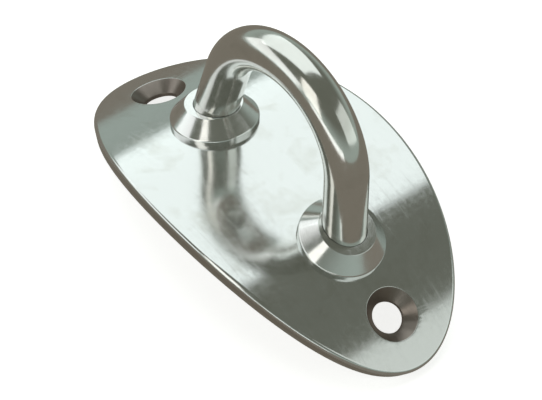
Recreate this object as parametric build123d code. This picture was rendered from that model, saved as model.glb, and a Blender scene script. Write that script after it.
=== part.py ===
from build123d import *

import os
from math import cos, radians, sin, sqrt, tan

# Pad eye for a round mast: a bent oval base plate, a round-bar eye, two cone collars and two rear welds.
#
# Frame: millimetres. The origin is the middle of the hollow back face, where the plate sits on the crest of
# the mast. +Z points away from the mast, out through the eye. +X runs along the plate from screw hole to
# screw hole. The mast's own axis runs along Y.

# Base plate: an oval blank, bent round the mast
mast_radius = 48.0              # radius of the hollow back face
plate_thickness = 2.0
outer_edge_radius = 0.6         # rolled and polished edge of the outer face
back_edge_radius = 0.2          # light deburring of the edge of the back face

# Screw holes: one near each tip, square to the bent face
screw_hole_radius = 2.25        # clears an M4 screw
countersink_radius = 3.75       # the widest part of the screw's head
countersink_half_angle = 45.0

# Eye: one round bar, bent to an arch with legs that lean together
bar_radius = 3.0
leg_lean = 8.0                  # how far each leg leans in, in degrees
eye_height = 22.5               # from the plate's crest to the top of the bar
foot_gap = 0.05                 # clearance round the bar in the plate and in the collars

# Collars: cones that dress the joint between the bar and the plate
collar_flare = 3.0              # how far the collar's foot stands out past the bar
collar_height = 2.8
collar_rim_height = 0.6         # upright band at the foot of the cone
collar_rim_radius = 0.25        # soft corner between the band and the cone
collar_top_ring = 0.1           # narrowest part of the flat ring round the bar at the top of the cone

# Spacing, measured round the outer face, from the middle of the plate out to its tips and sides
foot_spacing = 26.0             # from leg to leg
collar_to_countersink = 2.25    # flat between a collar's foot and the countersink next to it
countersink_to_tip = 4.3        # flat between a countersink and the tip of the plate
collar_to_side = 12.0           # flat between a collar's foot and the long side level with the middle

# Rear welds: each fills a chamfered ring round the end of a leg, dressed flush with the back
weld_depth = 1.0
weld_width = 1.1                # outside the bar, at the back face

overcut = 4.0                   # how far a cutting shape runs past what it cuts
radius_tolerance = 0.01         # for picking edges out by where they lie

# Worked out from the sizes above
outer_radius = mast_radius + plate_thickness
collar_radius = bar_radius + collar_flare
screw_arc = foot_spacing / 2 + collar_radius + collar_to_countersink + countersink_radius
tip_arc = screw_arc + countersink_radius + countersink_to_tip
plate_width = 2 * (collar_radius + collar_to_side)
collar_tilt = radians(leg_lean) + foot_spacing / 2 / outer_radius
collar_top_radius = bar_radius / cos(collar_tilt) + collar_height / 2 * tan(collar_tilt) + collar_top_ring
bend_centre = Vector(0, 0, -mast_radius)
bend_axis = Vector(0, 1, 0)
bar_top_centre = plate_thickness + eye_height - bar_radius
sides = {"left": -1, "right": 1}


def cylinder_along(start: Vector, direction: Vector, radius: float, length: float) -> Solid:
    """Return a cylinder that starts at a point and runs in a direction."""
    return Solid.make_cylinder(radius, length, Plane(start, z_dir=direction))


def bend_cylinder(radius: float) -> Solid:
    """Return the full cylinder about the bend's axis, long enough to pass both sides of the plate."""
    length = plate_width + 2 * overcut
    return cylinder_along(bend_centre - bend_axis * (length / 2), bend_axis, radius, length)


def face_normal(arc_length: float) -> Vector:
    """Return the plate's outward normal at a distance from its middle, measured round the outer face."""
    angle = arc_length / outer_radius
    return Vector(sin(angle), 0, cos(angle))


def face_point(arc_length: float) -> Vector:
    """Return the point of the outer face at a distance from its middle, measured round that face."""
    return bend_centre + face_normal(arc_length) * outer_radius


def leg_direction(side: int) -> Vector:
    """Return the direction of one leg, from the plate up towards the arch."""
    return Vector(-side * sin(radians(leg_lean)), 0, cos(radians(leg_lean)))


def leg_point(side: int) -> Vector:
    """Return the point where one leg crosses its collar's axis, at half the collar's height."""
    arc_length = side * foot_spacing / 2
    return face_point(arc_length) + face_normal(arc_length) * (collar_height / 2)


def leg_cylinder(side: int, radius: float) -> Solid:
    """Return a straight cylinder on one leg's axis that passes right through the plate and the collar."""
    reach = plate_thickness + collar_height + overcut
    direction = leg_direction(side)
    return cylinder_along(leg_point(side) - direction * reach, direction, radius, 2 * reach)


def leg_exit(side: int) -> Vector:
    """Return the point where one leg's axis comes out of the hollow back face."""
    from_centre = leg_point(side) - bend_centre
    along = from_centre.dot(leg_direction(side))
    half_chord = sqrt(along**2 - from_centre.length**2 + mast_radius**2)
    return leg_point(side) - leg_direction(side) * (along - half_chord)


def screw_hole_cutter(side: int) -> Part:
    """Return the cutting shape of one countersunk hole, on the plate's own normal."""
    normal = face_normal(side * screw_arc)
    rim = face_point(side * screw_arc)
    slope = tan(radians(countersink_half_angle))
    depth = (countersink_radius - screw_hole_radius) / slope
    through = cylinder_along(
        rim - normal * (plate_thickness + overcut), normal, screw_hole_radius, plate_thickness + 2 * overcut
    )
    cone = Solid.make_cone(
        screw_hole_radius,
        countersink_radius + overcut * slope,
        depth + overcut,
        Plane(rim - normal * depth, z_dir=normal),
    )
    return through + cone


def weld_cone(side: int) -> Solid:
    """Return the cone that the weld groove of one leg is cut with, widening out through the back face."""
    exit_point = leg_exit(side)
    normal = (exit_point - bend_centre).normalized()
    back_radius = bar_radius + weld_width
    return Solid.make_cone(
        back_radius + overcut,
        back_radius - weld_depth,
        overcut + weld_depth,
        Plane(exit_point - normal * overcut, z_dir=normal),
    )


def edges_at(blank: Solid, radius: float) -> ShapeList:
    """Return the edges of the bent blank that lie at a radius from the bend's axis."""

    def off_radius(edge: Edge) -> float:
        middle = edge.position_at(0.5) - bend_centre
        return abs(sqrt(middle.X**2 + middle.Z**2) - radius)

    return blank.edges().filter_by(lambda edge: off_radius(edge) < radius_tolerance)


def make_blank() -> Solid:
    """Return the bent oval plate, its edge square to the bent face and its corners rounded."""
    prism = extrude(Ellipse(face_point(tip_arc).X, plate_width / 2), amount=outer_radius)
    prism = Pos(0, 0, plate_thickness + overcut - outer_radius) * prism
    skin = bend_cylinder(outer_radius).faces().filter_by(GeomType.CYLINDER)[0]
    outer_face = (skin & prism).faces()[0]
    blank = Solid.thicken(outer_face, -plate_thickness)
    blank = fillet(edges_at(blank, outer_radius), outer_edge_radius)
    return fillet(edges_at(blank, mast_radius), back_edge_radius)


def make_base_plate() -> Part:
    """Return the base plate with its screw holes, its leg holes and the weld grooves in its back."""
    plate = make_blank()
    for side in sides.values():
        plate -= screw_hole_cutter(side)
        plate -= leg_cylinder(side, bar_radius + foot_gap)
        plate -= weld_cone(side)
    return plate


def make_eye_loop() -> Part:
    """Return the bar: two leaning legs joined by a round arch, cut off flush with the back face."""
    lean = radians(leg_lean)
    crossing = leg_point(1)
    offset = crossing.X * cos(lean) + crossing.Z * sin(lean)
    arch_height = (bar_top_centre - offset) / (1 - sin(lean))
    arch_radius = bar_top_centre - arch_height
    tangent = {
        side: Vector(side * arch_radius * cos(lean), 0, arch_height + arch_radius * sin(lean)) for side in (-1, 1)
    }
    reach = plate_thickness + collar_height + overcut
    ends = {side: leg_point(side) - leg_direction(side) * reach for side in (-1, 1)}
    path = Wire(
        [
            Edge.make_line(ends[-1], tangent[-1]),
            Edge.make_three_point_arc(tangent[-1], Vector(0, 0, bar_top_centre), tangent[1]),
            Edge.make_line(tangent[1], ends[1]),
        ]
    )
    section = Plane(ends[-1], z_dir=leg_direction(-1)) * Circle(bar_radius)
    return sweep(section, path) - bend_cylinder(mast_radius)


def make_collar(side: int) -> Part:
    """Return one cone collar, seated on the bent face and bored at the angle of its leg."""
    normal = face_normal(side * foot_spacing / 2)
    seat = face_point(side * foot_spacing / 2)
    seat_depth = 2 * (outer_radius - sqrt(outer_radius**2 - collar_radius**2))
    band = cylinder_along(seat - normal * seat_depth, normal, collar_radius, seat_depth + collar_rim_height)
    rim_plane = Plane(seat + normal * collar_rim_height, z_dir=normal)
    cone = Solid.make_cone(collar_radius, collar_top_radius, collar_height - collar_rim_height, rim_plane)
    collar = band + cone
    rim = collar.edges().filter_by(
        lambda edge: edge.geom_type == GeomType.CIRCLE
        and abs(rim_plane.to_local_coords(edge.center(CenterOf.MASS)).Z) < radius_tolerance
    )
    collar = fillet(rim, collar_rim_radius)
    return collar - bend_cylinder(outer_radius) - leg_cylinder(side, bar_radius + foot_gap)


def make_weld(side: int) -> Part:
    """Return one rear weld: the groove's own ring round the bar, flush with the back face."""
    return weld_cone(side) - bend_cylinder(mast_radius) - leg_cylinder(side, bar_radius)


def save(name: str, shape: Part) -> None:
    """Write one piece to its own STEP file, named after its node."""
    export_step(shape, f"parts/{name}.step")


def main() -> None:
    """Build every piece and write it out."""
    os.makedirs("parts", exist_ok=True)
    save("base_plate", make_base_plate())
    save("eye_loop", make_eye_loop())
    for name, side in sides.items():
        save(f"{name}_collar", make_collar(side))
        save(f"{name}_weld", make_weld(side))


if __name__ == "__main__":
    main()
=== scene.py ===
"""Polished pad eye for a round mast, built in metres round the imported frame.

The plate is bent round a mast that lies along Y. The screw holes lie along X, and the eye stands on the
plate's crest along Z. Every piece here stands for one piece of the frame and keeps to its sizes.
"""
import logging
import math
from collections.abc import Callable
from dataclasses import dataclass, field
from enum import Enum

import bpy
from mathutils import Matrix, Vector


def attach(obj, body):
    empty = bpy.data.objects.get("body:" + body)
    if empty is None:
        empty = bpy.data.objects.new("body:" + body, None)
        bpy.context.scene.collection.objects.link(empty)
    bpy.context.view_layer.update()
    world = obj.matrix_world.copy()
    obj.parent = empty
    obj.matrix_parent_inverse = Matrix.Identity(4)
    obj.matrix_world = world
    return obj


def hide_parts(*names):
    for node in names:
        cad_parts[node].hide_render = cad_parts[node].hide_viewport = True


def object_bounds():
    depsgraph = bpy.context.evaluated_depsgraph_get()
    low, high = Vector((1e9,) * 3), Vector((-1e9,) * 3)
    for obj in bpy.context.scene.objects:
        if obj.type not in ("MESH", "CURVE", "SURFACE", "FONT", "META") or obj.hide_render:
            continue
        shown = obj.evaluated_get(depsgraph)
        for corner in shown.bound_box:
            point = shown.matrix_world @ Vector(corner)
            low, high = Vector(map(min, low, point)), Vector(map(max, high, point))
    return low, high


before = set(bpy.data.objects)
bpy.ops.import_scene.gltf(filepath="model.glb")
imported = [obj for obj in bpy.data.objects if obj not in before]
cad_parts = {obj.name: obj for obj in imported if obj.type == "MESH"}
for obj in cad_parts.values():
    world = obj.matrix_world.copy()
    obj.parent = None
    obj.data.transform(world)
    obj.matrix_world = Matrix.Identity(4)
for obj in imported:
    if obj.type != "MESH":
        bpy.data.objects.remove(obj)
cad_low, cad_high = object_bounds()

MM = 0.001
BODY = "root"
CM_PER_METRE = 100
MERGE_WITHIN = 0.0005 * MM  # vertices closer together than this become one
SKIM = 0.0005 * MM  # how far a cutter's flat leans across a face, so that the two are never level
LEG_FLATS = 96
LATHE_STEPS = 96
MAST_FLATS = 1440
VERTICES, EDGES, FACES = (True, False, False), (False, True, False), (False, False, True)
MIX_FIRST, MIX_SECOND, MIX_RESULT = 6, 7, 2  # where a mix node keeps its two colours and its result
SCRATCHES = ((0.35, 60.0), (1.9, 80.0), (2.7, 45.0))  # turn of each set of hairlines, and repeats a metre
SCRATCH_STRETCH = 60.0  # how many times longer than wide a hairline is
TURNING_RINGS = {"Scale": 1600.0, "Distortion": 1.5, "Detail": 2.0, "Detail Scale": 0.4}

Triple = tuple[float, float, float]
Pairs = list[tuple[float, float]]
Socket = bpy.types.NodeSocket

log = logging.getLogger("pad_eye")


class Side(Enum):
    """The two ends of the plate, named by which way they lie along X."""

    LEFT = -1
    RIGHT = 1

    @property
    def word(self) -> str:
        """Return the side's name as it stands in the names of the pieces."""
        return self.name.lower()


# ---------------------------------------------------------------- sizes


@dataclass(frozen=True)
class Sizes:
    """Sizes that more than one piece is made from, in metres and radians."""

    mast_radius: float = 48.0 * MM
    plate_thickness: float = 2.0 * MM
    tip_arc: float = 33.05 * MM
    plate_width: float = 36.0 * MM
    bar_radius: float = 3.0 * MM
    foot_arc: float = 13.0 * MM
    screw_arc: float = 25.0 * MM
    leg_lean: float = math.radians(8.0)
    eye_height: float = 22.5 * MM
    collar_radius: float = 6.0 * MM
    collar_height: float = 2.8 * MM
    foot_gap: float = 0.05 * MM
    weld_depth: float = 1.0 * MM
    weld_width: float = 1.1 * MM
    reach: float = 8.0 * MM

    @property
    def outer_radius(self) -> float:
        """Return the radius of the outer face."""
        return self.mast_radius + self.plate_thickness

    @property
    def bend_centre(self) -> Vector:
        """Return the point of the mast's axis under the plate's middle."""
        return Vector((0, 0, -self.mast_radius))

    def face_normal(self, arc: float) -> Vector:
        """Return the outward normal of the plate at a distance round its outer face."""
        angle = arc / self.outer_radius
        return Vector((math.sin(angle), 0, math.cos(angle)))

    def face_point(self, arc: float) -> Vector:
        """Return the point of the outer face at a distance from its middle."""
        return self.bend_centre + self.face_normal(arc) * self.outer_radius

    def leg_direction(self, side: Side) -> Vector:
        """Return the direction of one leg, up towards the arch."""
        return Vector((-side.value * math.sin(self.leg_lean), 0, math.cos(self.leg_lean)))

    def leg_point(self, side: Side) -> Vector:
        """Return the point where one leg crosses its collar's axis."""
        arc = side.value * self.foot_arc
        return self.face_point(arc) + self.face_normal(arc) * (self.collar_height / 2)

    def leg_exit(self, side: Side) -> Vector:
        """Return the point where one leg's axis comes out of the hollow back."""
        direction = self.leg_direction(side)
        from_centre = self.leg_point(side) - self.bend_centre
        along = from_centre.dot(direction)
        half_chord = math.sqrt(along**2 - from_centre.length_squared + self.mast_radius**2)
        return self.leg_point(side) - direction * (along - half_chord)


SIZES = Sizes()


# ---------------------------------------------------------------- bench tools


class Bench:
    """Small hand operations on meshes, made with Blender's own operators and modifiers where one does the job."""

    @staticmethod
    def clear() -> None:
        """Deselect every object."""
        bpy.ops.object.select_all(action="DESELECT")

    @staticmethod
    def take(piece: bpy.types.Object) -> None:
        """Select one object alone and make it active."""
        Bench.clear()
        piece.select_set(True)
        bpy.context.view_layer.objects.active = piece

    @staticmethod
    def name_new(name: str) -> bpy.types.Object:
        """Name the object that an operator has just added and return it."""
        piece = bpy.context.active_object
        piece.name = name
        piece.data.name = name
        return piece

    @staticmethod
    def freeze(piece: bpy.types.Object) -> None:
        """Put an object's place, turn and scale into its mesh, and leave it at the origin."""
        Bench.take(piece)
        bpy.ops.object.transform_apply(location=True, rotation=True, scale=True)

    @staticmethod
    def edit(piece: bpy.types.Object, work: Callable[[], None]) -> None:
        """Run some work in edit mode with everything selected.

        Args:
            piece: The mesh object to work on.
            work: What to do while edit mode is on.
        """
        Bench.take(piece)
        bpy.ops.object.mode_set(mode="EDIT")
        bpy.ops.mesh.select_all(action="SELECT")
        work()
        bpy.ops.object.mode_set(mode="OBJECT")

    @staticmethod
    def pick_faces(piece: bpy.types.Object, wanted: Callable[[bpy.types.MeshPolygon], bool]) -> None:
        """Select the faces that pass a test, and nothing else, in object mode."""
        mesh = piece.data
        mesh.vertices.foreach_set("select", [False] * len(mesh.vertices))
        mesh.edges.foreach_set("select", [False] * len(mesh.edges))
        mesh.polygons.foreach_set("select", [wanted(face) for face in mesh.polygons])
        bpy.context.tool_settings.mesh_select_mode = FACES

    @staticmethod
    def settle(piece: bpy.types.Object) -> None:
        """Merge doubled vertices and turn every face outwards."""

        def work() -> None:
            """Merge and turn the faces of the mesh in hand."""
            bpy.ops.mesh.remove_doubles(threshold=MERGE_WITHIN)
            bpy.ops.mesh.normals_make_consistent(inside=False)

        Bench.edit(piece, work)

    @staticmethod
    def apply(piece: bpy.types.Object, kind: str, **settings: object) -> None:
        """Put one modifier on a piece and apply it.

        Args:
            piece: The mesh object that is changed.
            kind: The modifier's type.
            settings: Values for the modifier's own properties.
        """
        Bench.take(piece)
        modifier = piece.modifiers.new(kind.lower(), kind)
        for key, value in settings.items():
            setattr(modifier, key, value)
        bpy.ops.object.modifier_apply(modifier=modifier.name)

    @staticmethod
    def cut(piece: bpy.types.Object, tool: bpy.types.Object) -> None:
        """Cut a tool's shape out of a piece, then remove the tool."""
        Bench.apply(piece, "BOOLEAN", object=tool, operation="DIFFERENCE", solver="EXACT")
        bpy.data.objects.remove(tool, do_unlink=True)

    @staticmethod
    def rod(
        name: str, start: Vector, direction: Vector, radius: float, length: float, flats: int
    ) -> bpy.types.Object:
        """Return a plain rod, used for cutting.

        Args:
            name: The object's name.
            start: The middle of the rod's first end.
            direction: The way it runs, of unit length.
            radius: Its radius.
            length: Its length.
            flats: How many flats go round it.

        Returns:
            The rod, at the origin with its place in its mesh.
        """
        Bench.clear()
        bpy.ops.mesh.primitive_cylinder_add(
            vertices=flats,
            radius=radius,
            depth=length,
            location=start + direction * (length / 2),
            rotation=direction.to_track_quat("Z", "Y").to_euler(),
        )
        rod = Bench.name_new(name)
        Bench.freeze(rod)
        return rod

    @staticmethod
    def turn(name: str, profile: Pairs, foot: Vector, axis: Vector, steps: int) -> bpy.types.Object:
        """Return a shape turned on a lathe from a profile.

        Args:
            name: The object's name.
            profile: Radius and height of each point, the first and last on the axis.
            foot: The point of the axis at height zero.
            axis: The way the height runs, of unit length.
            steps: How many steps the turn has.

        Returns:
            The closed shape, at the origin with its place in its mesh.
        """
        across = axis.orthogonal().normalized()
        points = [foot + across * radius + axis * height for radius, height in profile]
        Bench.clear()
        bpy.ops.mesh.primitive_plane_add(size=MM, location=points[0])
        piece = Bench.name_new(name)
        Bench.freeze(piece)

        def work() -> None:
            """Draw the profile from one vertex and spin it."""
            bpy.ops.mesh.merge(type="CENTER")
            for before, after in zip(points, points[1:]):
                bpy.ops.mesh.extrude_vertices_move(TRANSFORM_OT_translate={"value": after - before})
            bpy.ops.mesh.select_all(action="SELECT")
            bpy.ops.mesh.spin(steps=steps, angle=math.tau, center=foot, axis=axis)

        bpy.context.tool_settings.mesh_select_mode = VERTICES
        Bench.edit(piece, work)
        Bench.settle(piece)
        return piece

    @staticmethod
    def smooth(piece: bpy.types.Object, degrees: float) -> None:
        """Shade a piece smooth, keep edges sharper than an angle, and let its large faces rule."""
        Bench.take(piece)
        bpy.ops.object.shade_smooth_by_angle(angle=math.radians(degrees))
        Bench.apply(piece, "WEIGHTED_NORMAL", mode="FACE_AREA", keep_sharp=True)


def rounding(radius: float, steps: int) -> Pairs:
    """Return the inward and upward move of each step round a quarter-circle edge."""
    places = [math.pi / 2 * step / steps for step in range(steps + 1)]
    return [
        (radius * (math.cos(a) - math.cos(b)), radius * (math.sin(b) - math.sin(a)))
        for a, b in zip(places, places[1:])
    ]


def corner(before: Vector, point: Vector, after: Vector, radius: float, steps: int) -> Pairs:
    """Return a profile's corner, rounded.

    Args:
        before: The profile's point before the corner.
        point: The corner itself.
        after: The profile's point after the corner.
        radius: The rounding's radius.
        steps: How many straight steps make the arc.

    Returns:
        The points of the arc, from the first side to the second.
    """
    back = (before - point).normalized()
    onward = (after - point).normalized()
    half = back.angle(onward) / 2
    middle = point + (back + onward).normalized() * (radius / math.sin(half))
    start = point + back * (radius / math.tan(half)) - middle
    end = point + onward * (radius / math.tan(half)) - middle
    sweep = start.angle_signed(end)
    arc = [start.copy() for _ in range(steps + 1)]
    for step, spoke in enumerate(arc):
        spoke.rotate(Matrix.Rotation(-sweep * step / steps, 2))
    return [tuple(middle + spoke) for spoke in arc]


def rounded(points: list[Triple], steps: int) -> Pairs:
    """Return a profile with its corners rounded.

    Args:
        points: Radius, height and corner rounding of each point. A rounding of zero keeps it sharp.
        steps: How many straight steps make each rounding.

    Returns:
        Radius and height of each point of the finished profile.
    """
    places = [Vector((x, y)) for x, y, _ in points]
    out: Pairs = []
    for index, (x, y, radius) in enumerate(points):
        if radius:
            out += corner(places[index - 1], places[index], places[index + 1], radius, steps)
        else:
            out.append((x, y))
    return out


# ---------------------------------------------------------------- finishes


@dataclass(frozen=True)
class Pattern:
    """A noise pattern, and the part of its range that is drawn out into patches or lines."""

    scale: float
    detail: float
    low: float
    high: float
    twist: float = 0.0


class Nodes:
    """A material's node tree, with short ways to add to it."""

    def __init__(self, name: str) -> None:
        """Start a material that has a shader and an output only."""
        self.material = bpy.data.materials.new(name)
        self.material.use_nodes = True
        self.tree = self.material.node_tree
        self.shader = self.tree.nodes["Principled BSDF"]

    def add(self, kind: str, **settings: object) -> bpy.types.Node:
        """Add a node and set its own properties."""
        node = self.tree.nodes.new(kind)
        for key, value in settings.items():
            setattr(node, key, value)
        return node

    def link(self, source: Socket, target: Socket) -> None:
        """Join one socket to another."""
        self.tree.links.new(source, target)

    def feed(self, socket: Socket, value: object) -> None:
        """Set a socket to a constant, or join another socket to it."""
        if isinstance(value, bpy.types.NodeSocket):
            self.link(value, socket)
        else:
            socket.default_value = value

    def join(self, name: str, value: Socket) -> None:
        """Join a socket to one of the shader's own, in place of what fed it before."""
        self.link(value, self.shader.inputs[name])

    def so_far(self, name: str) -> Socket:
        """Return what already feeds one of the shader's own sockets."""
        return self.shader.inputs[name].links[0].from_socket

    def sum(self, kind: str, operation: str, values: tuple[object, ...]) -> bpy.types.Node:
        """Add a node that works on constants or sockets, and return it.

        Args:
            kind: The node's type.
            operation: What it does to its values.
            values: A constant or a socket for each of its inputs, in order.

        Returns:
            The node.
        """
        node = self.add(kind, operation=operation)
        for socket, value in zip(node.inputs, values):
            self.feed(socket, value)
        return node

    def math(self, operation: str, *values: object) -> Socket:
        """Return the result of a sum on numbers."""
        return self.sum("ShaderNodeMath", operation, values).outputs[0]

    def vector(self, operation: str, *values: object) -> Socket:
        """Return the vector that a sum on vectors gives."""
        return self.sum("ShaderNodeVectorMath", operation, values).outputs["Vector"]

    def measure(self, operation: str, *values: object) -> Socket:
        """Return the one number that a sum on vectors gives, such as a length."""
        return self.sum("ShaderNodeVectorMath", operation, values).outputs["Value"]

    def object_place(self) -> Socket:
        """Return the place on the piece, in its own coordinates."""
        return self.add("ShaderNodeTexCoord").outputs["Object"]

    def mapped(
        self, place: Socket, shift: Triple = (0, 0, 0), turn: Triple = (0, 0, 0), scale: Triple = (1, 1, 1)
    ) -> Socket:
        """Return a place that is moved, turned and scaled for a pattern."""
        node = self.add("ShaderNodeMapping")
        self.link(place, node.inputs["Vector"])
        node.inputs["Location"].default_value = shift
        node.inputs["Rotation"].default_value = turn
        node.inputs["Scale"].default_value = scale
        return node.outputs[0]

    def noise(self, place: Socket, scale: float, detail: float, twist: float = 0.0) -> Socket:
        """Return a noise pattern's value."""
        node = self.add("ShaderNodeTexNoise")
        self.link(place, node.inputs["Vector"])
        node.inputs["Scale"].default_value = scale
        node.inputs["Detail"].default_value = detail
        node.inputs["Distortion"].default_value = twist
        return node.outputs["Fac"]

    def spread(self, value: object, low: float, high: float, to_low: float, to_high: float) -> Socket:
        """Return a value moved from one range into another, and kept inside it."""
        node = self.add("ShaderNodeMapRange")
        for socket, number in zip(node.inputs, (value, low, high, to_low, to_high)):
            self.feed(socket, number)
        return node.outputs[0]

    def patches(self, place: Socket, pattern: Pattern, to_low: float = 0.0, to_high: float = 1.0) -> Socket:
        """Return a noise pattern with part of its range drawn out between two values."""
        noise = self.noise(place, pattern.scale, pattern.detail, pattern.twist)
        return self.spread(noise, pattern.low, pattern.high, to_low, to_high)

    def blend(self, amount: object, first: object, second: object) -> Socket:
        """Return a colour between two others."""
        node = self.add("ShaderNodeMix", data_type="RGBA")
        self.feed(node.inputs["Factor"], amount)
        for index, colour in ((MIX_FIRST, first), (MIX_SECOND, second)):
            self.feed(node.inputs[index], (*colour, 1.0) if isinstance(colour, tuple) else colour)
        return node.outputs[MIX_RESULT]

    def bump(self, height: Socket, depth: float, below: Socket | None = None) -> Socket:
        """Return a normal that follows a height pattern, on top of another one if there is one."""
        node = self.add("ShaderNodeBump")
        self.link(height, node.inputs["Height"])
        node.inputs["Distance"].default_value = depth
        if below is not None:
            self.link(below, node.inputs["Normal"])
        return node.outputs[0]


@dataclass(frozen=True)
class SteelFinish:
    """A polished stainless finish: its colour, its gloss and the fine marks that polishing leaves."""

    name: str
    slot: str
    colour: Triple = (0.77, 0.785, 0.78)
    stain: Triple = (0.62, 0.62, 0.58)
    stain_strength: float = 0.5
    gloss: tuple[float, float] = (0.11, 0.17)
    mark_dulling: float = 0.03
    stain_dulling: float = 0.06
    swell_scale: float = 90.0
    swell_detail: float = 1.0
    swell_depth: float = 0.010 * MM
    mark_depth: float = 0.0002 * MM
    lines: Pattern = Pattern(1.0, 2.0, 0.60, 0.66)
    cloud: Pattern = Pattern(260.0, 4.0, 0.52, 0.74, twist=0.4)
    haze: Pattern = Pattern(1400.0, 3.0, 0.35, 0.75)

    def marks(self, nodes: Nodes, place: Socket) -> Socket:
        """Return the height of the fine scratches: hairlines in three directions, each shifted by its turn."""
        total: object = 0.0
        for turn, repeats in SCRATCHES:
            scale = (repeats, repeats * SCRATCH_STRETCH, repeats)
            lined = nodes.mapped(place, (turn, 0, 0), (0, 0, turn), scale)
            total = nodes.math("ADD", total, nodes.patches(lined, self.lines))
        return total

    def dress(self, nodes: Nodes, place: Socket) -> None:
        """Add what only one finish has, after the common layers are in place."""

    def material(self) -> bpy.types.Material:
        """Build the finish's material and return it."""
        nodes = Nodes(self.name)
        place = nodes.object_place()
        stain = nodes.patches(place, self.cloud, to_high=self.stain_strength)
        nodes.join("Base Color", nodes.blend(stain, self.colour, self.stain))
        marks = self.marks(nodes, place)
        rough = nodes.patches(place, self.haze, *self.gloss)
        rough = nodes.math("MULTIPLY_ADD", marks, self.mark_dulling, rough)
        nodes.join("Roughness", nodes.math("MULTIPLY_ADD", stain, self.stain_dulling, rough))
        nodes.shader.inputs["Metallic"].default_value = 1.0
        swell = nodes.bump(nodes.noise(place, self.swell_scale, self.swell_detail), self.swell_depth)
        nodes.join("Normal", nodes.bump(marks, self.mark_depth, swell))
        self.dress(nodes, place)
        return nodes.material


@dataclass(frozen=True)
class PlateFinish(SteelFinish):
    """Mirror-polished sheet, duller on its sheared edge and in its drilled countersinks, where painted shade also
    darkens its colour.
    """

    # Painted shade: this colour darkens the sheared edge in place of the dark reflection its side wall shows; the
    # extra roughness there is the edge's own duller finish.
    edge_painted_shade: Triple = (0.50, 0.47, 0.43)
    edge_gloss: tuple[float, float] = (0.196, 0.364)
    edge_facing: tuple[float, float] = (0.02, 0.30)
    edge_grain: Pattern = Pattern(900.0, 3.0, 0.3, 0.7)
    grain_scale: Triple = (1, 1, 6)
    # Painted shade: this dark colour takes the place of the shade inside the screw holes; their extra roughness
    # is their own duller drilled finish.
    hole_painted_shade: Triple = (0.27, 0.235, 0.21)
    drilled_gloss: float = 0.20
    drilled_reach: float = 3.95 * MM
    skin: float = 0.04 * MM

    def drilled(self, nodes: Nodes, place: Socket, depth: Socket) -> Socket:
        """Return 1 on the walls of the screw holes and 0 elsewhere, where painted shade and dulling go.

        Args:
            nodes: The material that the nodes are added to.
            place: The place on the plate.
            depth: How far that place lies from the bend's axis.

        Returns:
            The mask, with a short soft edge.
        """
        flat = nodes.vector("MULTIPLY", nodes.vector("ABSOLUTE", place), (1, 1, 0))
        lifted = nodes.vector("MULTIPLY", place, (0, 0, 1))
        one_side = nodes.vector("ADD", flat, lifted)
        mouth = tuple(SIZES.face_point(SIZES.screw_arc))
        away = nodes.measure("LENGTH", nodes.vector("SUBTRACT", one_side, mouth))
        near = nodes.spread(away, self.drilled_reach, self.drilled_reach + self.skin, 1.0, 0.0)
        thin = self.skin / 4
        under = nodes.spread(depth, SIZES.outer_radius - self.skin, SIZES.outer_radius - thin, 1.0, 0.0)
        over = nodes.spread(depth, SIZES.mast_radius + thin, SIZES.mast_radius + self.skin, 0.0, 1.0)
        return nodes.math("MULTIPLY", near, nodes.math("MULTIPLY", under, over))

    def dress(self, nodes: Nodes, place: Socket) -> None:
        """Roughen the sheared edge and the walls of the screw holes, and darken both with painted shade."""
        from_centre = nodes.vector("SUBTRACT", place, tuple(SIZES.bend_centre))
        from_axis = nodes.vector("MULTIPLY", from_centre, (1, 0, 1))
        normal = nodes.add("ShaderNodeTexCoord").outputs["Normal"]
        facing = nodes.measure("DOT_PRODUCT", normal, nodes.vector("NORMALIZE", from_axis))
        edge = nodes.spread(nodes.math("ABSOLUTE", facing), *self.edge_facing, 1.0, 0.0)
        grain = nodes.mapped(place, scale=self.grain_scale)
        dull = nodes.patches(grain, self.edge_grain, *self.edge_gloss)
        # Painted shade on the sheared edge, blended in by the edge mask; the roughness beside it is real dulling.
        colour = nodes.blend(edge, nodes.so_far("Base Color"), self.edge_painted_shade)
        rough = nodes.math("ADD", nodes.math("MULTIPLY", edge, dull), nodes.so_far("Roughness"))
        drilled = self.drilled(nodes, place, nodes.measure("LENGTH", from_axis))
        # Painted shade on the walls of the screw holes.
        nodes.join("Base Color", nodes.blend(drilled, colour, self.hole_painted_shade))
        nodes.join("Roughness", nodes.math("MULTIPLY_ADD", drilled, self.drilled_gloss, rough))


@dataclass(frozen=True)
class BarFinish(SteelFinish):
    """Polished bar with hairlines that follow its length, on its own map.

    Each set of hairlines has a shift, a number round the bar and a number of repeats along each centimetre.
    """

    lines: Pattern = Pattern(1.0, 2.0, 0.56, 0.68)
    hairlines: tuple[Triple, ...] = ((0.0, 140.0, 9.0), (7.0, 70.0, 5.0))

    def marks(self, nodes: Nodes, place: Socket) -> Socket:
        """Return the height of the hairlines along the bar."""
        along = nodes.add("ShaderNodeUVMap", uv_map="bar_length").outputs[0]
        total: object = 0.0
        for shift, round_count, along_count in self.hairlines:
            lined = nodes.mapped(along, shift=(shift, 0, 0), scale=(along_count, round_count, 1))
            total = nodes.math("ADD", total, nodes.patches(lined, self.lines))
        return total


@dataclass(frozen=True)
class TurnedFinish(SteelFinish):
    """Turned and polished steel with faint rings round its own axis."""

    foot: Triple = (0, 0, 0)
    tilt: float = 0.0

    def marks(self, nodes: Nodes, place: Socket) -> Socket:
        """Return the height of the turning rings."""
        centred = nodes.vector("SUBTRACT", place, self.foot)
        upright = nodes.mapped(centred, turn=(0, -self.tilt, 0))
        rings = nodes.add("ShaderNodeTexWave", wave_type="RINGS", rings_direction="Z", wave_profile="SIN")
        nodes.link(upright, rings.inputs["Vector"])
        for name, value in TURNING_RINGS.items():
            rings.inputs[name].default_value = value
        return rings.outputs["Fac"]


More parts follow.
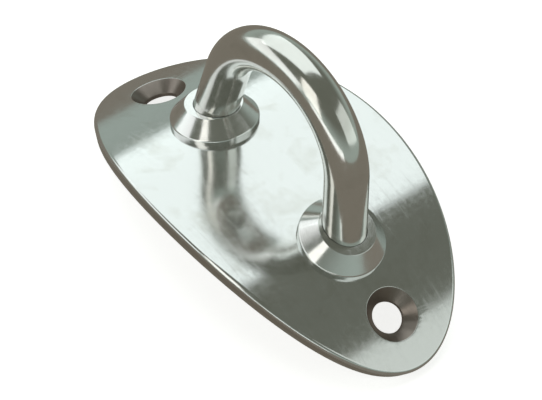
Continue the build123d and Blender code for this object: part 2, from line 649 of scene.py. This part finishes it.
@dataclass(frozen=True)
class WeldFinish(SteelFinish):
    """Ground weld metal: satin, with straw-coloured patches from the heat and grinding marks one way."""

    lines: Pattern = Pattern(1.0, 3.0, 0.4, 0.7)
    grind_turn: float = 0.8
    grind_scale: Triple = (500, 9000, 500)
    heat: Triple = (0.48, 0.40, 0.28)
    heat_patches: Pattern = Pattern(520.0, 2.0, 0.45, 0.7)
    heat_strength: float = 0.8

    def marks(self, nodes: Nodes, place: Socket) -> Socket:
        """Return the height of coarse grinding marks."""
        lined = nodes.mapped(place, turn=(0, 0, self.grind_turn), scale=self.grind_scale)
        return nodes.patches(lined, self.lines)

    def dress(self, nodes: Nodes, place: Socket) -> None:
        """Add the heat tint in uneven patches."""
        patches = nodes.patches(place, self.heat_patches, to_high=self.heat_strength)
        nodes.join("Base Color", nodes.blend(patches, nodes.so_far("Base Color"), self.heat))


# ---------------------------------------------------------------- pieces


@dataclass
class Piece:
    """One visible piece: its name, the frame's node that it stands for, and its finish."""

    name: str
    node: str
    finish: SteelFinish
    made: bpy.types.Object | None = field(default=None, init=False)

    def build(self) -> bpy.types.Object:
        """Build the piece's mesh and return its object."""
        raise NotImplementedError

    def dress(self) -> None:
        """Give the piece its finish and its body, and hide the frame's node that it stands for."""
        self.made.data.materials.clear()
        self.made.data.materials.append(self.finish.material())
        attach(self.made, BODY)
        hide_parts(self.node)

    def finish_up(self) -> None:
        """Build, dress and report the piece."""
        self.made = self.build()
        self.dress()
        log.info("%s: %d faces", self.name, len(self.made.data.polygons))


@dataclass
class BasePlate(Piece):
    """The oval plate: made flat, drilled, cut in strips, bent, then cut for the legs and welds."""

    rim_steps: int = 288
    outer_edge: float = 0.6 * MM
    outer_steps: int = 8
    back_edge: float = 0.2 * MM
    back_steps: int = 4
    flat_enough: float = 0.99
    hole_radius: float = 2.25 * MM
    countersink: float = 3.75 * MM
    countersink_slope: float = math.radians(45.0)
    hole_edge: float = 0.12 * MM
    hole_edge_steps: int = 5
    strip: float = 0.5 * MM
    crease: float = 32.0

    def blank(self) -> bpy.types.Object:
        """Return the flat blank, its outer face at height zero and both its edges rounded.

        It starts as a round of radius 1 m. That is stretched to the outline which is an oval once it is bent.
        """
        wall = SIZES.plate_thickness - self.outer_edge - self.back_edge
        middle = -self.outer_edge - wall / 2
        Bench.clear()
        bpy.ops.mesh.primitive_cylinder_add(
            vertices=self.rim_steps, radius=1.0, depth=wall, location=(0, 0, middle)
        )
        plate = Bench.name_new(self.name)
        Bench.freeze(plate)
        reach = SIZES.face_point(SIZES.tip_arc).x
        for vertex in plate.data.vertices:
            vertex.co.x = SIZES.outer_radius * math.asin(reach * vertex.co.x / SIZES.outer_radius)
            vertex.co.y = vertex.co.y * SIZES.plate_width / 2
        self.round_off(plate, 1, self.outer_edge, self.outer_steps)
        self.round_off(plate, -1, self.back_edge, self.back_steps)
        return plate

    def round_off(self, plate: bpy.types.Object, up: int, radius: float, steps: int) -> None:
        """Round one edge of the flat blank by insetting its face in small steps.

        Args:
            plate: The flat blank.
            up: 1 for the outer face and -1 for the back.
            radius: The edge's rounding.
            steps: How many insets make it.
        """
        Bench.take(plate)
        Bench.pick_faces(plate, lambda face: face.normal.z * up > self.flat_enough)
        bpy.ops.object.mode_set(mode="EDIT")
        for inward, outward in rounding(radius, steps):
            bpy.ops.mesh.inset(thickness=inward, depth=outward, use_even_offset=True)
        bpy.ops.object.mode_set(mode="OBJECT")

    def screw_cutter(self, side: Side) -> bpy.types.Object:
        """Return the turned cutter of one countersunk hole, its mouth and its back edge eased."""
        slope = math.tan(self.countersink_slope)
        throat = -(self.countersink - self.hole_radius) / slope
        wide = 3 * self.countersink
        back = -SIZES.plate_thickness
        profile = rounded(
            [
                (0, SIZES.reach, 0),
                (wide, SIZES.reach, 0),
                (wide, SKIM, 0),
                (self.countersink, -SKIM, self.hole_edge),
                (self.hole_radius, throat, self.hole_edge),
                (self.hole_radius, back + SKIM, self.hole_edge),
                (wide, back - SKIM, 0),
                (wide, -SIZES.reach, 0),
                (0, -SIZES.reach, 0),
            ],
            self.hole_edge_steps,
        )
        foot = Vector((side.value * SIZES.screw_arc, 0, 0))
        return Bench.turn("screw_cutter", profile, foot, Vector((0, 0, 1)), LATHE_STEPS)

    def cut_strips(self, plate: bpy.types.Object) -> None:
        """Cut the flat plate across into narrow strips, so that it bends as a true round."""
        count = math.ceil(SIZES.tip_arc / self.strip)

        def work() -> None:
            """Cut across at every strip's edge."""
            for index in range(-count + 1, count):
                bpy.ops.mesh.select_all(action="SELECT")
                bpy.ops.mesh.bisect(plane_co=(index * self.strip, 0, 0), plane_no=(1, 0, 0))

        Bench.edit(plate, work)

    def bend(self, plate: bpy.types.Object) -> None:
        """Bend the flat plate about the mast's axis and lift its outer face to its height."""
        ends = [vertex.co.x for vertex in plate.data.vertices]
        guide = bpy.data.objects.new("bend_guide", None)
        bpy.context.collection.objects.link(guide)
        guide.rotation_euler = (math.pi / 2, 0, 0)
        bpy.context.view_layer.update()
        Bench.apply(
            plate,
            "SIMPLE_DEFORM",
            deform_method="BEND",
            deform_axis="Z",
            origin=guide,
            angle=-(max(ends) - min(ends)) / SIZES.outer_radius,
        )
        bpy.data.objects.remove(guide, do_unlink=True)
        plate.location.z = SIZES.plate_thickness
        Bench.freeze(plate)

    def build(self) -> bpy.types.Object:
        """Build the plate and return it."""
        plate = self.blank()
        for side in Side:
            Bench.cut(plate, self.screw_cutter(side))
        self.cut_strips(plate)
        self.bend(plate)
        for side in Side:
            Bench.cut(plate, leg_rod(side, SIZES.bar_radius + SIZES.foot_gap))
            Bench.cut(plate, weld_cone("weld_cutter", side))
        Bench.settle(plate)
        Bench.smooth(plate, self.crease)
        return plate


def leg_rod(side: Side, radius: float) -> bpy.types.Object:
    """Return a rod on one leg's axis that passes right through the plate and the collar."""
    direction = SIZES.leg_direction(side)
    start = SIZES.leg_point(side) - direction * SIZES.reach
    return Bench.rod("leg_rod", start, direction, radius, 2 * SIZES.reach, LEG_FLATS)


def mast_rod(radius: float) -> bpy.types.Object:
    """Return the mast's own round, fine enough to cut a smooth hollow with."""
    length = SIZES.plate_width + 2 * SIZES.reach
    start = SIZES.bend_centre - Vector((0, length / 2, 0))
    return Bench.rod("mast_rod", start, Vector((0, 1, 0)), radius, length, MAST_FLATS)


def weld_cone(name: str, side: Side) -> bpy.types.Object:
    """Return the turned cone of one rear weld, widening out through the back face.

    Args:
        name: The object's name.
        side: Which leg it goes round.

    Returns:
        The cone, closed at both ends.
    """
    exit_point = SIZES.leg_exit(side)
    inward = (exit_point - SIZES.bend_centre).normalized()
    wide = SIZES.bar_radius + SIZES.weld_width
    depth = SIZES.weld_depth
    spare = SIZES.reach / 2
    profile = [(0, -spare), (wide + spare, -spare), (wide - depth, depth), (0, depth)]
    return Bench.turn(name, profile, exit_point, inward, LATHE_STEPS)


@dataclass
class EyeBar(Piece):
    """The eye: one round bar bent to an arch between two leaning legs."""

    flats: int = 80
    arch_steps: int = 120
    leg_steps: int = 10
    crease: float = 40.0

    def arch(self) -> tuple[Vector, float]:
        """Return the middle of the arch and the radius of the bar's centre line round it."""
        lean = SIZES.leg_lean
        crossing = SIZES.leg_point(Side.RIGHT)
        top = SIZES.plate_thickness + SIZES.eye_height - SIZES.bar_radius
        offset = crossing.x * math.cos(lean) + crossing.z * math.sin(lean)
        height = (top - offset) / (1 - math.sin(lean))
        return Vector((0, 0, height)), top - height

    def build(self) -> bpy.types.Object:
        """Build the bar from one ring that is pushed up a leg, spun round the arch and pushed down again."""
        middle, radius = self.arch()
        lean = SIZES.leg_lean
        up = SIZES.leg_direction(Side.LEFT)
        down = -SIZES.leg_direction(Side.RIGHT)
        start = SIZES.leg_point(Side.LEFT) - up * SIZES.reach
        tangent = middle + Vector((-radius * math.cos(lean), 0, radius * math.sin(lean)))
        step = (tangent - start).length / self.leg_steps
        Bench.clear()
        bpy.ops.mesh.primitive_circle_add(
            vertices=self.flats,
            radius=SIZES.bar_radius,
            location=start,
            rotation=up.to_track_quat("Z", "Y").to_euler(),
        )
        bar = Bench.name_new(self.name)
        Bench.freeze(bar)

        def push(direction: Vector) -> None:
            """Push the chosen ring along one leg in even steps."""
            for _ in range(self.leg_steps):
                bpy.ops.mesh.extrude_edges_move(TRANSFORM_OT_translate={"value": direction * step})

        def work() -> None:
            """Make both legs and the arch between them, and close the bar's ends."""
            push(up)
            bpy.ops.mesh.spin(
                steps=self.arch_steps,
                angle=math.pi - 2 * lean,
                center=middle,
                axis=(0, -1, 0),
            )
            push(down)
            bpy.ops.mesh.select_all(action="SELECT")
            bpy.ops.mesh.fill_holes(sides=0)

        bpy.context.tool_settings.mesh_select_mode = EDGES
        Bench.edit(bar, work)
        Bench.settle(bar)
        Bench.cut(bar, mast_rod(SIZES.mast_radius))
        self.map_length(bar)
        Bench.smooth(bar, self.crease)
        return bar

    def map_length(self, bar: bpy.types.Object) -> None:
        """Lay the bar's own map: its length in centimetres one way, and its girth as turns the other."""
        middle, radius = self.arch()
        layer = bar.data.uv_layers.new(name="bar_length")
        half = math.pi / 2 - SIZES.leg_lean
        half_turn = 0.5

        def place(point: Vector) -> tuple[float, float]:
            """Return how far along and how far round the bar a point lies."""
            spoke = point - middle
            angle = math.atan2(spoke.x, spoke.z)
            along = radius * angle
            away = Vector((spoke.x, 0, spoke.z)).length - radius
            if abs(angle) > half:
                side = Side.RIGHT if angle > 0 else Side.LEFT
                direction = SIZES.leg_direction(side)
                beyond = -spoke.dot(direction)
                along = math.copysign(radius * half + beyond, angle)
                away = abs(spoke.dot(Vector((direction.z, 0, -direction.x)))) - radius
            return along * CM_PER_METRE, math.atan2(spoke.y, away) / math.tau

        for face in bar.data.polygons:
            found = [place(bar.data.vertices[index].co) for index in face.vertices]
            wraps = max(turn for _, turn in found) - min(turn for _, turn in found) > half_turn
            for loop, (along, turn) in zip(face.loop_indices, found):
                layer.data[loop].uv = (along, turn + (1.0 if wraps and turn < 0 else 0.0))


@dataclass
class Collar(Piece):
    """One cone collar, turned square to the plate, bored for its leaning leg and seated on the bend."""

    side: Side = Side.LEFT
    band: float = 0.6 * MM
    top_radius: float = 3.948 * MM
    rim_rounding: float = 0.40 * MM
    top_rounding: float = 0.12 * MM
    rounding_steps: int = 6
    lathe_steps: int = 144
    crease: float = 50.0

    def build(self) -> bpy.types.Object:
        """Build the collar and return it."""
        arc = self.side.value * SIZES.foot_arc
        depth = SIZES.reach / 4
        profile = rounded(
            [
                (0, -depth, 0),
                (SIZES.collar_radius, -depth, 0),
                (SIZES.collar_radius, self.band, self.rim_rounding),
                (self.top_radius, SIZES.collar_height, self.top_rounding),
                (0, SIZES.collar_height, 0),
            ],
            self.rounding_steps,
        )
        foot = SIZES.face_point(arc)
        collar = Bench.turn(self.name, profile, foot, SIZES.face_normal(arc), self.lathe_steps)
        Bench.cut(collar, mast_rod(SIZES.outer_radius))
        Bench.cut(collar, leg_rod(self.side, SIZES.bar_radius + SIZES.foot_gap))
        Bench.smooth(collar, self.crease)
        return collar


@dataclass
class RearWeld(Piece):
    """One ring of weld that fills the groove round a leg's end, ground flush with the hollow back."""

    side: Side = Side.LEFT
    crease: float = 40.0

    def build(self) -> bpy.types.Object:
        """Build the weld and return it."""
        weld = weld_cone(self.name, self.side)
        Bench.cut(weld, mast_rod(SIZES.mast_radius))
        Bench.cut(weld, leg_rod(self.side, SIZES.bar_radius))
        Bench.smooth(weld, self.crease)
        return weld


# ---------------------------------------------------------------- studio


@dataclass(frozen=True)
class Panel:
    """One soft light panel: where it hangs, how its long edge runs, its size, its colour and strength."""

    name: str
    toward: Triple
    edge: Triple
    size: tuple[float, float]
    power: float
    distance: float = 0.6
    colour: Triple = (1.0, 1.0, 1.0)

    def hang(self) -> bpy.types.Object:
        """Make the light, facing the object, and return it."""
        data = bpy.data.lights.new(self.name, "AREA")
        data.shape = "RECTANGLE"
        data.size, data.size_y = self.size
        data.energy = self.power
        data.color = self.colour
        lamp = bpy.data.objects.new(self.name, data)
        bpy.context.collection.objects.link(lamp)
        out = Vector(self.toward).normalized()
        across = Vector(self.edge)
        across = (across - out * across.dot(out)).normalized()
        turn = Matrix((across, out.cross(across), out)).transposed()
        lamp.matrix_world = Matrix.Translation(out * self.distance) @ turn.to_4x4()
        return lamp


@dataclass(frozen=True)
class Viewpoint:
    """Where the camera stands and looks."""

    azimuth: float = math.radians(42.226)
    elevation: float = math.radians(47.834)
    roll: float = math.radians(9.677)
    distance: float = 740.7 * MM
    lens: float = 374.2
    sensor: float = 36.0
    near: float = 0.01
    far: float = 20.0
    aim_right: float = -1.051 * MM
    aim_up: float = -3.954 * MM

    def set_up(self) -> None:
        """Make the camera and give it to the scene."""
        level = math.cos(self.elevation)
        turn_x, turn_y = math.cos(self.azimuth), math.sin(self.azimuth)
        back = Vector((turn_y * level, -turn_x * level, math.sin(self.elevation)))
        flat_right = Vector((turn_x, turn_y, 0))
        flat_up = back.cross(flat_right)
        right = flat_right * math.cos(self.roll) + flat_up * math.sin(self.roll)
        up = back.cross(right)
        aim = Vector((0, 0, SIZES.plate_thickness)) + right * self.aim_right + up * self.aim_up
        data = bpy.data.cameras.new("camera")
        data.lens = self.lens
        data.sensor_width = self.sensor
        data.clip_start = self.near
        data.clip_end = self.far
        camera = bpy.data.objects.new("camera", data)
        bpy.context.collection.objects.link(camera)
        turn = Matrix((right, up, back)).transposed()
        camera.matrix_world = Matrix.Translation(aim + back * self.distance) @ turn.to_4x4()
        bpy.context.scene.camera = camera


@dataclass
class Studio:
    """A pale floor under soft panels, in a room of quieter tones that the polished steel picks up."""

    floor_size: float = 8.0
    floor_colour: Triple = (0.86, 0.86, 0.86)
    floor_glow: float = 0.72
    floor_echo: Triple = (0.22, 0.20, 0.165)
    room_low: Triple = (0.36, 0.42, 0.38)
    room_high: Triple = (0.148, 0.156, 0.128)
    room_seen: Triple = (0.92, 0.92, 0.92)
    room_rise: tuple[float, float] = (0.1, 0.6)
    panels: tuple[Panel, ...] = (
        Panel(
            "main_panel",
            toward=(-0.573, 0.208, 0.793),
            edge=(0.811, 0.0, 0.586),
            size=(0.717, 0.78),
            power=1.76,
            colour=(0.93, 1.0, 1.0),
        ),
        Panel(
            "end_panel",
            toward=(0.742, 0.423, 0.520),
            edge=(0.574, 0.0, -0.819),
            size=(0.374, 0.6),
            power=0.42,
            colour=(0.94, 1.0, 0.97),
        ),
        Panel(
            "side_panel",
            toward=(-0.70, -0.64, 0.30),
            edge=(-0.675, 0.738, 0.0),
            size=(0.80, 0.26),
            power=0.55,
            colour=(0.98, 0.98, 1.0),
        ),
        Panel(
            "front_panel",
            toward=(0.03, -0.85, 0.53),
            edge=(1.0, 0.0, 0.0),
            size=(0.22, 0.46),
            power=0.36,
            colour=(1.0, 0.98, 0.93),
        ),
        Panel(
            "low_panel",
            toward=(0.42, -0.90, 0.06),
            edge=(0.906, 0.423, 0.0),
            size=(0.70, 0.11),
            power=0.24,
        ),
    )

    def lay_floor(self) -> None:
        """Lay the floor at the height of the plate's tips.

        It is plain and pale to the eye, and darker to mirror rays, so that the steel keeps its dark tones.
        """
        Bench.clear()
        bpy.ops.mesh.primitive_plane_add(size=self.floor_size, location=(0, 0, cad_low.z))
        floor = Bench.name_new("floor")
        nodes = Nodes("pale_floor")
        rays = nodes.add("ShaderNodeLightPath")
        nodes.tree.nodes.remove(nodes.shader)
        output = nodes.tree.nodes["Material Output"]
        matt = nodes.add("ShaderNodeBsdfDiffuse")
        matt.inputs["Color"].default_value = (*self.floor_colour, 1.0)
        glow = nodes.add("ShaderNodeEmission")
        glow.inputs["Strength"].default_value = self.floor_glow
        lit = nodes.add("ShaderNodeAddShader")
        nodes.link(matt.outputs[0], lit.inputs[0])
        nodes.link(glow.outputs[0], lit.inputs[1])
        echo = nodes.add("ShaderNodeEmission")
        echo.inputs["Color"].default_value = (*self.floor_echo, 1.0)
        choice = nodes.add("ShaderNodeMixShader")
        nodes.link(rays.outputs["Is Glossy Ray"], choice.inputs[0])
        nodes.link(lit.outputs[0], choice.inputs[1])
        nodes.link(echo.outputs[0], choice.inputs[2])
        nodes.link(choice.outputs[0], output.inputs["Surface"])
        floor.data.materials.append(nodes.material)

    def paint_room(self) -> None:
        """Give the room its tones: pale where it is seen, quieter where the steel mirrors it."""
        world = bpy.data.worlds.new("room")
        bpy.context.scene.world = world
        world.use_nodes = True
        tree = world.node_tree
        background = tree.nodes["Background"]
        rays = tree.nodes.new("ShaderNodeLightPath")
        place = tree.nodes.new("ShaderNodeTexCoord")
        split = tree.nodes.new("ShaderNodeSeparateXYZ")
        tree.links.new(place.outputs["Generated"], split.inputs[0])
        rise = tree.nodes.new("ShaderNodeMapRange")
        rise.interpolation_type = "SMOOTHSTEP"
        for socket, value in zip(rise.inputs[1:5], (*self.room_rise, 0.0, 1.0)):
            socket.default_value = value
        tree.links.new(split.outputs["Z"], rise.inputs[0])
        tones = tree.nodes.new("ShaderNodeMix")
        tones.data_type = "RGBA"
        tree.links.new(rise.outputs[0], tones.inputs[0])
        tones.inputs[MIX_FIRST].default_value = (*self.room_low, 1.0)
        tones.inputs[MIX_SECOND].default_value = (*self.room_high, 1.0)
        seen = tree.nodes.new("ShaderNodeMix")
        seen.data_type = "RGBA"
        tree.links.new(rays.outputs["Is Camera Ray"], seen.inputs[0])
        tree.links.new(tones.outputs[MIX_RESULT], seen.inputs[MIX_FIRST])
        seen.inputs[MIX_SECOND].default_value = (*self.room_seen, 1.0)
        tree.links.new(seen.outputs[MIX_RESULT], background.inputs["Color"])

    def set_up(self) -> None:
        """Lay the floor, paint the room, hang the panels and place the camera."""
        self.lay_floor()
        self.paint_room()
        for panel in self.panels:
            panel.hang()
        Viewpoint().set_up()
        bpy.context.scene.view_settings.view_transform = "Standard"


# ---------------------------------------------------------------- the whole


def make_pieces() -> list[Piece]:
    """Return every piece of the pad eye, ready to be built."""
    sheet = PlateFinish("mirror_sheet", "plate_steel", mark_depth=0.00012 * MM)
    bar = BarFinish(
        "polished_bar",
        "bar_steel",
        colour=(0.74, 0.74, 0.71),
        swell_scale=150.0,
        swell_depth=0.016 * MM,
    )
    pieces: list[Piece] = [
        BasePlate("polished_base_plate", "base_plate", sheet),
        EyeBar("polished_eye_bar", "eye_loop", bar),
    ]
    for side in Side:
        arc = side.value * SIZES.foot_arc
        turned = TurnedFinish(
            f"turned_collar_{side.word}",
            "collar_steel",
            colour=(0.80, 0.81, 0.80),
            mark_depth=0.0004 * MM,
            foot=tuple(SIZES.face_point(arc)),
            tilt=arc / SIZES.outer_radius,
        )
        ground = WeldFinish(
            f"ground_weld_{side.word}",
            "weld_steel",
            colour=(0.62, 0.61, 0.58),
            gloss=(0.30, 0.45),
            mark_depth=0.003 * MM,
        )
        pieces.append(Collar(f"turned_{side.word}_collar", f"{side.word}_collar", turned, side=side))
        pieces.append(RearWeld(f"ground_{side.word}_weld", f"{side.word}_weld", ground, side=side))
    return pieces


def main() -> None:
    """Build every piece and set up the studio."""
    logging.basicConfig(level=logging.INFO, format="%(name)s: %(message)s")
    for piece in make_pieces():
        piece.finish_up()
    Studio().set_up()
    Bench.clear()


if __name__ == "__main__":
    main()
